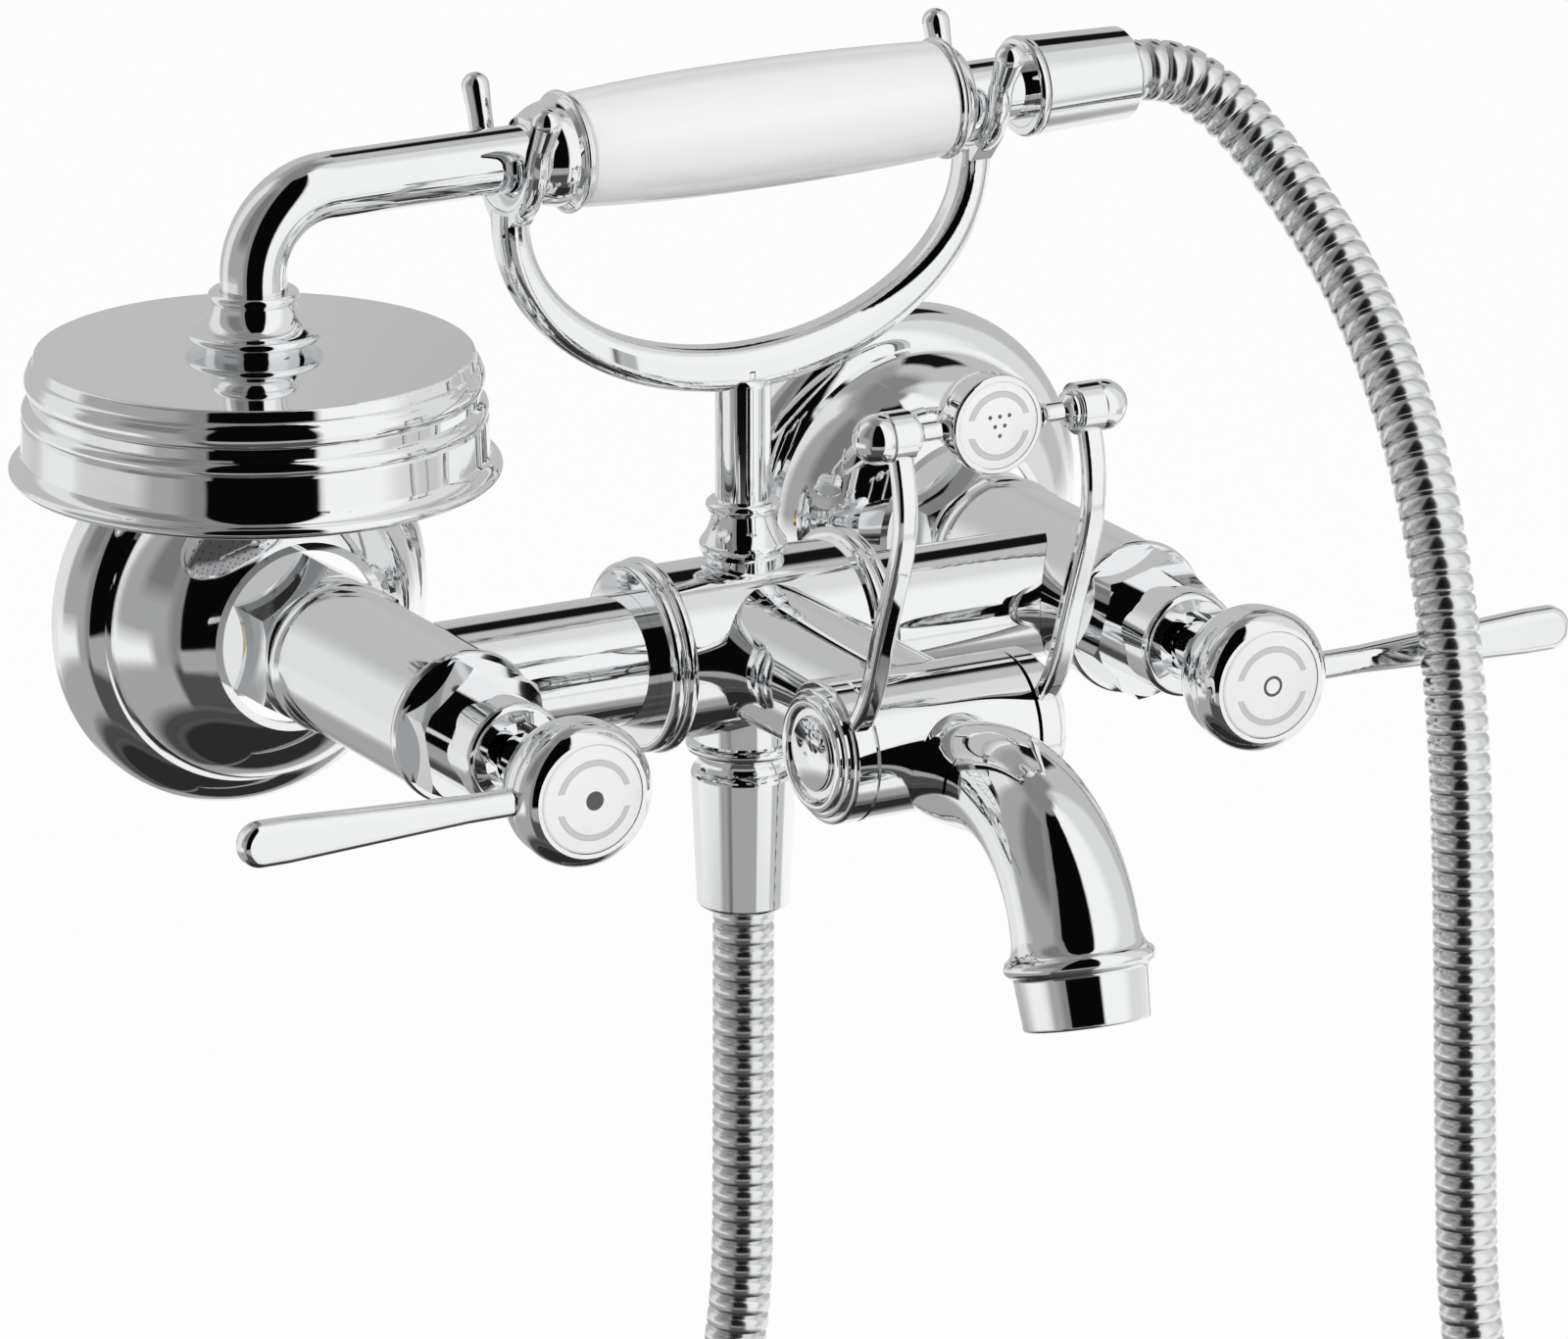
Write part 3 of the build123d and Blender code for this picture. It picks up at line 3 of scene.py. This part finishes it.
import bpy
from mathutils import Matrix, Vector


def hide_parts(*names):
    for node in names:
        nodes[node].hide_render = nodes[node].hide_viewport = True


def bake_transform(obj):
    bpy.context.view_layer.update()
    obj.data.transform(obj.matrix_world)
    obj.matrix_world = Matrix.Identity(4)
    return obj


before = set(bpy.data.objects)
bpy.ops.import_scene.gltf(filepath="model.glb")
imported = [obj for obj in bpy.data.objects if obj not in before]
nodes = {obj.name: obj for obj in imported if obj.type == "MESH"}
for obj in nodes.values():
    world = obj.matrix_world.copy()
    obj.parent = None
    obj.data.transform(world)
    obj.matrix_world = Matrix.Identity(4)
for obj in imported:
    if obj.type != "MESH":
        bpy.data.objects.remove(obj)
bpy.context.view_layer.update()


# Camera: it stands in the room, to the left of the mixer and a little above it, and looks through a long
# lens, so the tubes hardly taper with distance.
camera_place = (-1.1904, -2.2239, 0.7623)
camera_dip = 17.19
camera_turn = -29.15
film_width = 36
lens = 299.69
bpy.ops.object.camera_add(location=camera_place,
                          rotation=(math.radians(90 - camera_dip), 0, math.radians(camera_turn)))
camera = bpy.context.object
camera.data.sensor_width = film_width
camera.data.lens = lens
bpy.context.scene.camera = camera
bpy.context.scene.view_settings.view_transform = "Standard"


# Wall side: two offset unions of machined brass screw into the wall elbows, and a rosette spun from brass
# slides over each. A hexagonal nut draws the valve body onto a flat rubber seal. Rosettes and nuts are
# polished and chromed.
class Value:
    # A number that changes over a surface. Sums, products and the like add their Math nodes.
    def __init__(self, network, socket):
        self.network = network
        self.socket = socket

    def maths(self, operation, *numbers):
        return self.network.node("ShaderNodeMath", {"operation": operation}, dict(enumerate(numbers)))

    def __add__(self, other):
        return self.maths("ADD", self, other)

    def __radd__(self, other):
        return self.maths("ADD", other, self)

    def __sub__(self, other):
        return self.maths("SUBTRACT", self, other)

    def __rsub__(self, other):
        return self.maths("SUBTRACT", other, self)

    def __mul__(self, other):
        return self.maths("MULTIPLY", self, other)

    def __rmul__(self, other):
        return self.maths("MULTIPLY", other, self)

    def __truediv__(self, other):
        return self.maths("DIVIDE", self, other)

    def __pow__(self, other):
        return self.maths("POWER", self, other)

    def __abs__(self):
        return self.maths("ABSOLUTE", self)

    def clamped(self):
        return self.maths("MINIMUM", self.maths("MAXIMUM", self, 0), 1)


class Network:
    # The nodes of one material or surround.
    def __init__(self, tree):
        self.tree = tree

    def node(self, kind, settings, sockets, outlet=0):
        made = self.tree.nodes.new(kind)
        for name, value in settings.items():
            setattr(made, name, value)
        for name, value in sockets.items():
            if isinstance(value, Value):
                self.tree.links.new(value.socket, made.inputs[name])
            else:
                made.inputs[name].default_value = value
        return Value(self, made.outputs[outlet])

    def place(self):
        return self.node("ShaderNodeTexCoord", {}, {}, "Object")

    def along(self, axis):
        return self.node("ShaderNodeSeparateXYZ", {}, {0: self.place()}, axis)

    def noise(self, scale, detail=2):
        return self.node("ShaderNodeTexNoise", {}, {
            "Vector": self.place(), "Scale": scale, "Detail": detail})

    def mirrored_white(self, plain, white, output, share):
        # The camera and mirrors see mostly the white shader, and the plain one lights the object.
        camera_ray = self.node("ShaderNodeLightPath", {}, {}, "Is Camera Ray")
        mirror_ray = self.node("ShaderNodeLightPath", {}, {}, "Is Glossy Ray")
        clear_ray = self.node("ShaderNodeLightPath", {}, {}, "Is Transmission Ray")
        seen = (camera_ray + mirror_ray + clear_ray).clamped() * share
        both = self.node("ShaderNodeMixShader", {}, {0: seen, 1: plain, 2: white})
        self.tree.links.new(both.socket, output.inputs["Surface"])


class Finish(Network):
    # A material: its constant settings go straight on the shader, the rest is wired from its nodes.
    def __init__(self, name, **constants):
        self.material = bpy.data.materials.new(name)
        self.material.use_nodes = True
        super().__init__(self.material.node_tree)
        self.shader = self.tree.nodes["Principled BSDF"]
        for socket, value in constants.items():
            self.shader.inputs[socket.replace("_", " ")].default_value = value

    def wire(self, socket, value):
        self.tree.links.new(value.socket, self.shader.inputs[socket])

    def bump(self, height, strength, distance):
        self.wire("Normal", self.node("ShaderNodeBump", {}, {
            "Height": height, "Strength": strength, "Distance": distance}))

    def mix(self, factor, low, high):
        low = low if isinstance(low, Value) else (*low, 1)
        return self.node("ShaderNodeMix", {"data_type": "RGBA"}, {0: factor, 6: low, 7: (*high, 1)}, 2)

    def tint(self, factor, low, high):
        self.wire("Base Color", self.mix(factor, low, high))

    def on(self, *names):
        for name in names:
            for slot in nodes[name].material_slots:
                slot.material = self.material


def plated(name, ripple, haze):
    # Chrome plate: a mirror that waves a little where the polishing wheel went, hazy in faint patches.
    plate = Finish(name, Metallic=1.0)
    plate.tint(plate.noise(12), (0.89, 0.90, 0.91), (0.93, 0.935, 0.94))
    plate.wire("Roughness", 0.02 + plate.noise(45, 3) * haze)
    plate.bump(plate.noise(70, 1), ripple, 0.0004)
    return plate


def machined(name, low, high, rough):
    # Bare metal as it leaves the lathe: fine grain in its tone and its gloss.
    metal = Finish(name, Metallic=1.0)
    metal.tint(metal.noise(90), low, high)
    metal.wire("Roughness", rough + metal.noise(400) * 0.15)
    return metal


spun_chrome = plated("spun_chrome", 0.05, 0.04)
spun_chrome.on("wall_rosette_left", "wall_rosette_right")
turned_chrome = plated("turned_chrome", 0.02, 0.03)
turned_chrome.on("union_nut_left", "union_nut_right")
brass = machined("machined_brass", (0.62, 0.47, 0.22), (0.78, 0.62, 0.33), 0.22)
brass.on("wall_union_left", "wall_union_right")
rubber = Finish("seal_rubber", IOR=1.45)
rubber.tint(rubber.noise(300), (0.03, 0.03, 0.03), (0.06, 0.06, 0.06))
rubber.wire("Roughness", 0.55 + rubber.noise(500) * 0.2)
rubber.on("flat_seals")


# Body: the valve bodies and the tee are cast brass. They are buffed by hand before plating, so they wave
# more than turned parts. Drawn tubes join them, and double-beaded collars hide the joints. Acetal check
# valves sit in the valve bodies' tails.
cast_chrome = plated("cast_chrome", 0.07, 0.04)
cast_chrome.on("valve_body_left", "valve_body_right", "tee_body")
turned_chrome.on("cross_tube_left", "cross_tube_right", "tee_collars")
acetal = Finish("valve_acetal")
acetal.tint(acetal.noise(200), (0.72, 0.72, 0.70), (0.80, 0.80, 0.79))
acetal.wire("Roughness", 0.38 + acetal.noise(600) * 0.12)
acetal.on("check_valves")


# Headworks: a cartridge of turned and chromed brass screws into each valve body by its hexagon. Inside, the
# spindle turns a ceramic disc on a ceramic seat, both lapped until they hold water.
turned_chrome.on("headwork_hot", "headwork_cold")
turned_chrome.on("hot_spindle", "cold_spindle")
alumina = Finish("lapped_alumina")
alumina.tint(alumina.noise(150), (0.82, 0.80, 0.75), (0.88, 0.87, 0.83))
alumina.wire("Roughness", 0.12 + alumina.noise(500) * 0.1)
alumina.on("ceramic_seats", "hot_disc", "cold_disc")


# Handles: a turned knob sits on the spindle and takes a forged lever in its side. A steel screw under the
# cap holds the knob. The cap is brass under white enamel with two thin arcs round a dot on the hot one and
# round a ring on the cold one.
turned_chrome.on("hot_hub", "cold_hub")
forged_chrome = plated("forged_chrome", 0.05, 0.03)
forged_chrome.on("hot_lever", "cold_lever")
screw_steel = machined("screw_steel", (0.62, 0.62, 0.63), (0.72, 0.72, 0.73), 0.25)
screw_steel.on("hot_screw", "cold_screw")
arc_half = 0.00055
arc_grey = (0.56, 0.565, 0.57)
arc_edge = (0.40, 0.405, 0.41)
arc_edge_half = 0.00006
arc_gap = math.radians(16)
mark_ink = (0.045, 0.045, 0.05)
mark_blur = 0.00008
cap_across = 0.075
cap_up = 0.008
cap_arc_r = 0.0074
hot_dot_r = 0.0019
cold_ring_r = 0.0018
cold_ring_half = 0.0003


def enamelled(name, across, up, arc_r, marks):
    # White enamel. A mark is (across, up, radius, half width): a dot has its radius at 0.
    enamel = Finish(name, Coat_Weight=0.8, Coat_Roughness=0.02, IOR=1.5)
    white = enamel.mix(enamel.noise(60), (0.84, 0.84, 0.84), (0.88, 0.88, 0.88))
    x = enamel.along("X") - across
    z = enamel.along("Z") - up

    def ring_mask(dx, dz, radius, half):
        away = ((x - dx) ** 2 + (z - dz) ** 2) ** 0.5
        return ((half - abs(away - radius)) / mark_blur + 0.5).clamped()

    beyond = ((abs(z) - arc_r * math.sin(arc_gap)) / mark_blur).clamped()
    drawn = enamel.mix(ring_mask(0, 0, arc_r, arc_half) * beyond, white, arc_grey)
    drawn = enamel.mix(ring_mask(0, 0, arc_r + arc_half, arc_edge_half) * beyond, drawn, arc_edge)
    drawn = enamel.mix(ring_mask(0, 0, arc_r - arc_half, arc_edge_half) * beyond, drawn, arc_edge)
    for dx, dz, radius, half in marks:
        drawn = enamel.mix(ring_mask(dx, dz, radius, half), drawn, mark_ink)
    enamel.wire("Base Color", drawn)
    enamel.wire("Roughness", 0.10 + enamel.noise(120) * 0.06)
    enamel.bump(enamel.noise(90, 1), 0.04, 0.0003)
    return enamel


hot_enamel = enamelled("hot_enamel", -cap_across, cap_up, cap_arc_r, [(0, 0, 0, hot_dot_r)])
hot_enamel.on("hot_cap")
cold_enamel = enamelled("cold_enamel", cap_across, cap_up, cap_arc_r, [(0, 0, cold_ring_r, cold_ring_half)])
cold_enamel.on("cold_cap")


# Diverter: a turned housing closes the tee's branch. Its shaft turns a brass spool with two rubber rings, and
# carries a fork of two cast arms under round caps. Ball-ended pins hold the index between the arms' tips.
turned_chrome.on("diverter_housing", "fork_caps", "fork_pins", "index_cup", "diverter_shaft")
cast_chrome.on("fork_arm_left", "fork_arm_right")
brass.on("diverter_spool", "diverter_plug")
rubber.on("diverter_seals")
index_up = 0.077
index_arc_r = 0.0062
drop_r = 0.00042
drop_spacing = 0.0021
row_spacing = 0.0019
drop_places = ((-1, 1), (0, 1), (1, 1), (-0.5, 0), (0.5, 0), (0, -1))
drops = [(step * drop_spacing, row * row_spacing, 0, drop_r) for step, row in drop_places]
index_enamel = enamelled("index_enamel", 0, index_up, index_arc_r, drops)
index_enamel.on("index_disc")


# Spout: a bent and swaged brass tube, brazed to the housing, with a turned collar. A chromed sleeve over
# its end holds the acetal aerator.
cast_chrome.on("spout")
turned_chrome.on("aerator_sleeve")
acetal.on("aerator_insert")


# Hose outlet and cradle: a nipple screws up into the tee for the hose's coned nut. On top of the tee stands
# a ferrule with a pillar, which carries a forged bow with two bent prongs in its arms' tops.
turned_chrome.on("outlet_nipple", "outlet_nut", "cradle_ferrule", "cradle_pillar")
forged_chrome.on("cradle_bow", "cradle_prongs")


# Hand shower: a spun head with a plate and rubber nozzles hangs from a bent tube. The tail's core runs
# through a grip of white glazed porcelain between two bell ferrules, and its thread takes the hose's nut.
spun_chrome.on("head_shell", "spray_plate")
turned_chrome.on("head_ferrule", "grip_ferrule_front", "grip_ferrule_rear", "handset_tail", "handset_nut")
drawn_chrome = plated("drawn_chrome", 0.04, 0.03)
drawn_chrome.on("neck_tube")
rubber.on("spray_nozzles")
porcelain = Finish("porcelain_glaze", Coat_Weight=0.6, Coat_Roughness=0.03, IOR=1.5)
porcelain.tint(porcelain.noise(25), (0.84, 0.84, 0.84), (0.88, 0.88, 0.875))
porcelain.wire("Roughness", 0.14 + porcelain.noise(80) * 0.08)
porcelain.bump(porcelain.noise(40), 0.05, 0.0006)
porcelain.on("grip")


# Hose: a chromed metal strip wound into ribs over a rubber liner. It hangs from the hand shower's nut in a
# loop and comes back up into the nut under the tee. Its points are in millimetres, starting at the hand
# shower.
hose_points = [
    (85.9, -73, 112.5), (95.8, -73, 112.5),
    (104.2, -76.6, 106.8), (110.2, -84.4, 98.4), (114.2, -96.0, 87.4), (116.8, -110.0, 74.8),
    (117.2, -125.5, 58.8), (115.9, -140.8, 39.1), (114.0, -152.0, 16.8), (113.0, -158.8, -8.5),
    (112.9, -161.4, -42.0), (113.6, -161.9, -86.0), (114.4, -163.4, -135.0), (126.0, -173.3, -186.0),
    (146.0, -188.0, -239.0), (161.0, -199.0, -298.0), (157.0, -196.5, -360.0), (130.5, -176.0, -410.0),
    (90.0, -142.5, -436.5), (43.0, -107.0, -439.0), (-1.5, -72.0, -418.0), (-31.0, -49.0, -373.0),
    (-40.0, -42.0, -311.0), (-30.5, -49.5, -251.0), (-13.0, -63.0, -196.0), (-0.2, -72.4, -143.0),
    (0, -73, -90.0), (0, -73, -46.6),
]
route_steps = 24
hose_r = 0.0062
hose_groove_r = 0.0054
rib_count = 296
rib_sides = 32
rib_weld = 0.00002
rib_crease = math.radians(50)
bpy.ops.object.select_all(action="DESELECT")
bpy.ops.curve.primitive_nurbs_path_add()
route = bpy.context.object
route.name = "hose_route"
route.data.splines.clear()
spline = route.data.splines.new("NURBS")
spline.points.add(len(hose_points) - 1)
for point, (x, y, z) in zip(spline.points, reversed(hose_points)):
    point.co = (x / 1000, y / 1000, z / 1000, 1)
spline.order_u = 3
spline.use_endpoint_u = True
spline.resolution_u = route_steps
route.data.resolution_u = route_steps
bpy.context.view_layer.update()
line = bpy.data.meshes.new_from_object(route)
hose_line = [vertex.co.copy() for vertex in line.vertices]
hose_length = sum((b - a).length for a, b in zip(hose_line, hose_line[1:]))
pitch = hose_length / rib_count

bpy.ops.object.select_all(action="DESELECT")
bpy.ops.mesh.primitive_circle_add(vertices=rib_sides, radius=hose_groove_r, rotation=(0, math.pi / 2, 0))
hose = bpy.context.object
hose.name = "hose_windings"
bpy.ops.object.transform_apply(location=False, rotation=True, scale=False)
bpy.ops.object.mode_set(mode="EDIT")
bpy.ops.mesh.select_all(action="SELECT")
# One rib, from groove to groove. Each step is a share of the pitch and the radius that it ends at.
radius = hose_groove_r
for step, wanted in (
        (0.05, 0.0057),
        (0.10, 0.0061),
        (0.30, hose_r),
        (0.32, 0.0061),
        (0.10, 0.0058),
        (0.13, hose_groove_r)):
    bpy.ops.mesh.extrude_region_move(TRANSFORM_OT_translate={"value": (step * pitch, 0, 0)})
    bpy.ops.transform.resize(value=(1, wanted / radius, wanted / radius))
    radius = wanted
bpy.ops.object.mode_set(mode="OBJECT")
windings = hose.modifiers.new("windings", "ARRAY")
windings.count = rib_count
windings.use_relative_offset = True
windings.relative_offset_displace = (1, 0, 0)
windings.use_merge_vertices = True
windings.merge_threshold = rib_weld
lie = hose.modifiers.new("lie", "CURVE")
lie.object = route
lie.deform_axis = "POS_X"
bpy.context.view_layer.objects.active = hose
for modifier in ("windings", "lie"):
    bpy.ops.object.modifier_apply(modifier=modifier)
bpy.data.objects.remove(route)
bpy.ops.object.mode_set(mode="EDIT")
bpy.ops.mesh.select_all(action="SELECT")
bpy.ops.mesh.normals_make_consistent(inside=False)
bpy.ops.object.mode_set(mode="OBJECT")
bpy.ops.object.shade_smooth_by_angle(angle=rib_crease)
wound = Finish("wound_strip", Metallic=1.0)
wound.tint(wound.noise(80), (0.80, 0.81, 0.82), (0.90, 0.905, 0.91))
wound.wire("Roughness", 0.15 + wound.noise(300, 3) * 0.10)
hose.data.materials.append(wound.material)
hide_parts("hose")
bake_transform(hose)


# Floor and studio: a floor of white paper well below the mixer in white surroundings, two soft boxes, and a
# tent of grey and black cloths round it all that only shiny surfaces see.
floor_size = 14
floor_height = -0.62
floor_white = 0.95
bpy.ops.object.select_all(action="DESELECT")
bpy.ops.mesh.primitive_plane_add(size=floor_size, location=(0, 0, floor_height))
floor = bpy.context.object
floor.name = "floor"
bpy.ops.object.transform_apply()
paper = Finish("floor_paper", Roughness=0.9)
paper.tint(paper.noise(3), (0.88, 0.88, 0.88), (0.9, 0.9, 0.9))
glow = paper.node("ShaderNodeEmission", {}, {})
paper_shader = Value(paper, paper.shader.outputs[0])
paper.mirrored_white(paper_shader, glow, paper.tree.nodes["Material Output"], floor_white)
floor.data.materials.append(paper.material)

surround_strength = 0.62
world = bpy.data.worlds.new("pale_surround")
bpy.context.scene.world = world
world.use_nodes = True
surround = Network(world.node_tree)
dim = surround.node("ShaderNodeBackground", {}, {"Color": (1, 1, 1, 1), "Strength": surround_strength})
bright = surround.node("ShaderNodeBackground", {}, {"Color": (1, 1, 1, 1), "Strength": 1.0})
surround.mirrored_white(dim, bright, surround.tree.nodes["World Output"], 1.0)

studio_middle = Vector((0, -0.1, 0.03))
softbox_size = 1.0
for name, place, power in (
        ("key_softbox", (-1.9, -1.1, 1.3), 17),
        ("fill_softbox", (1.2, -1.9, 0.9), 15)):
    bpy.ops.object.light_add(type="AREA", location=place)
    lamp = bpy.context.object
    lamp.name = name
    lamp.data.size = softbox_size
    lamp.data.energy = power
    lamp.visible_glossy = False
    lamp.rotation_mode = "QUATERNION"
    lamp.rotation_quaternion = (studio_middle - Vector(place)).to_track_quat("-Z", "Y")

tent_r = 2.4
tent_hem = -0.6
bpy.ops.object.select_all(action="DESELECT")
bpy.ops.mesh.primitive_uv_sphere_add(segments=96, ring_count=48, radius=tent_r, location=studio_middle)
tent = bpy.context.object
tent.name = "studio_tent"
bpy.ops.object.transform_apply()
bpy.ops.object.mode_set(mode="EDIT")
bpy.ops.mesh.select_all(action="SELECT")
bpy.ops.mesh.bisect(plane_co=(0, 0, tent_hem), plane_no=(0, 0, 1), clear_inner=True, use_fill=True)
bpy.ops.object.mode_set(mode="OBJECT")

# Each cloth is (left, right, bottom, top, grey, edge), in degrees seen from the mixer but for its grey: 0 is
# straight out into the room, and right is along the wall. A grey is as the screen shows it in the chrome.
# Later cloths hang in front of earlier ones.
screen_gamma = 2.2
chrome_tone = 0.91
bare_shade = 0.32
bare_patches = 0.06
cloths = Finish("tent_cloths", Base_Color=(0, 0, 0, 1), Roughness=1.0, Specular_IOR_Level=0.0,
                Emission_Strength=1.0)
way = cloths.node("ShaderNodeVectorMath", {"operation": "SUBTRACT"}, {0: cloths.place(), 1: studio_middle})
way = cloths.node("ShaderNodeVectorMath", {"operation": "NORMALIZE"}, {0: way})
right_way, back_way, up_way = [cloths.node("ShaderNodeSeparateXYZ", {}, {0: way}, axis) for axis in "XYZ"]
bearing = right_way.maths("ARCTAN2", right_way, back_way * -1) * (180 / math.pi)
rise = up_way.maths("ARCSINE", up_way) * (180 / math.pi)
shade = cloths.noise(1.2) * bare_patches + bare_shade
for left, right, bottom, top, grey, edge in (
        (-180, 180, 68, 100, 0.50, 8),
        (150, 205, -14, 50, 0.72, 10),
        (-155, -122, -20, 58, 0.86, 10),
        (-122, -66, -16, 64, 0.62, 10),
        (-100, -64, 14, 66, 0.46, 12),
        (-150, -84, -27, -12, 0.92, 10),
        (-190, -146, -27, -14, 0.88, 6),
        (-64, -40, -34, 78, 0.50, 10),
        (3, 58, -16, 80, 0.94, 4),
        (50, 98, -16, 80, 0.84, 16),
        (94, 152, -14, 68, 0.72, 10),
        (122, 150, 34, 54, 0.10, 4),
        (2, 40, -27, -12, 0.93, 5),
        (40, 76, -27, -12, 0.76, 12),
        (76, 172, -27, -12, 0.95, 8),
        (-180, -64, -52, -27, 0.62, 6),
        (-64, 2, -52, -26, 0.30, 6),
        (2, 165, -50, -27, 0.92, 6),
        (-56, 2, -30, -17, 0.62, 4),
        (-53, 1, -17, 76, 0.06, 2),
        (-180, 20, -62, -50, 0.28, 8),
        (20, 180, -62, -50, 0.60, 8),
        (-180, 180, -100, -60, 0.18, 6)):
    aside = abs(bearing.maths("WRAP", bearing - (left + right) / 2, 180, -180))
    over = abs(rise - (bottom + top) / 2)
    inside_width = (((right - left) / 2 - aside) / edge + 0.5).clamped()
    inside_height = (((top - bottom) / 2 - over) / edge + 0.5).clamped()
    shade = shade + (grey ** screen_gamma / chrome_tone - shade) * (inside_width * inside_height)
cloths.wire("Emission Color", shade)
tent.data.materials.append(cloths.material)
tent.visible_camera = False
tent.visible_diffuse = False
tent.visible_transmission = False
tent.visible_shadow = False
